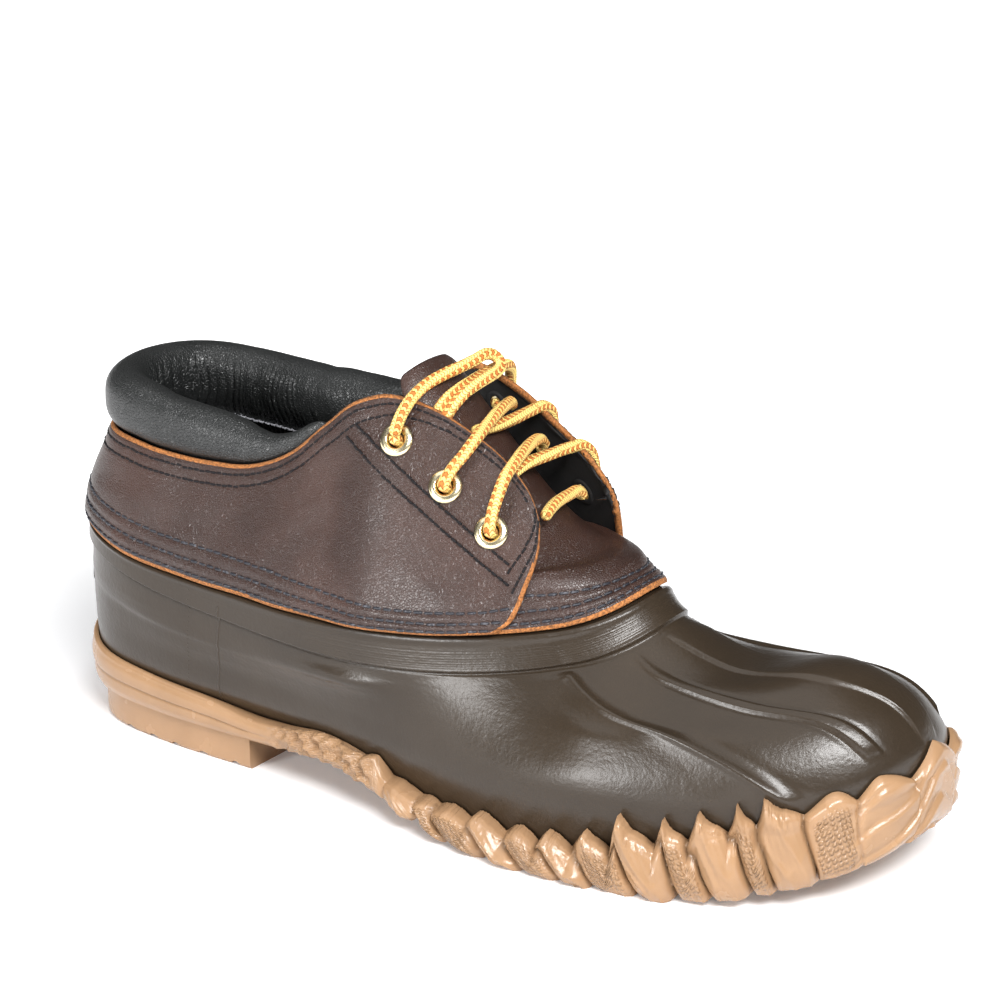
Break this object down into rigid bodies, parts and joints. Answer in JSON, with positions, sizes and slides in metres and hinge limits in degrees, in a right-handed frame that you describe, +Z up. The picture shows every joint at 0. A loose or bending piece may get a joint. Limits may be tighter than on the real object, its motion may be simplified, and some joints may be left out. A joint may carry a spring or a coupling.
{
  "type": "low rubber-bottom boot",
  "caption": "Low lace-up boot for the right foot with a moulded rubber bottom, leather top, padded collar and gum sole with a lobed edge, for wet ground.",
  "frame": {"origin": "on the floor under the middle of the sole's outline", "axes": "+X towards the toe, +Y towards the inner side of the foot, +Z up"},
  "size_m": [0.3061, 0.1058, 0.14],
  "materials": {
    "gum_rubber": "matte moulded",
    "olive_rubber": "semi-gloss moulded",
    "grey_insole": "matte woven",
    "brown_leather": "oiled, satin",
    "black_leather": "soft, satin",
    "black_tab": "plain, matte",
    "brass": "polished",
    "yellow_lace": "waxed braid"
  },
  "bodies": {
    "root": {"outsole": "gum_rubber", "heel": "gum_rubber", "rubber_bottom": "olive_rubber", "insole": "grey_insole", "vamp_tongue": "brown_leather", "quarter": "brown_leather", "collar": "black_leather", "heel_tab": "black_tab", "eyelet_outer_1": "brass", "eyelet_outer_2": "brass", "eyelet_outer_3": "brass", "eyelet_inner_1": "brass", "eyelet_inner_2": "brass", "eyelet_inner_3": "brass", "lace_bar": "yellow_lace", "lace_crossing_low": "yellow_lace", "lace_crossing_high": "yellow_lace", "lace_loop": "yellow_lace", "lace_tail": "yellow_lace"}
  },
  "joints": []
}
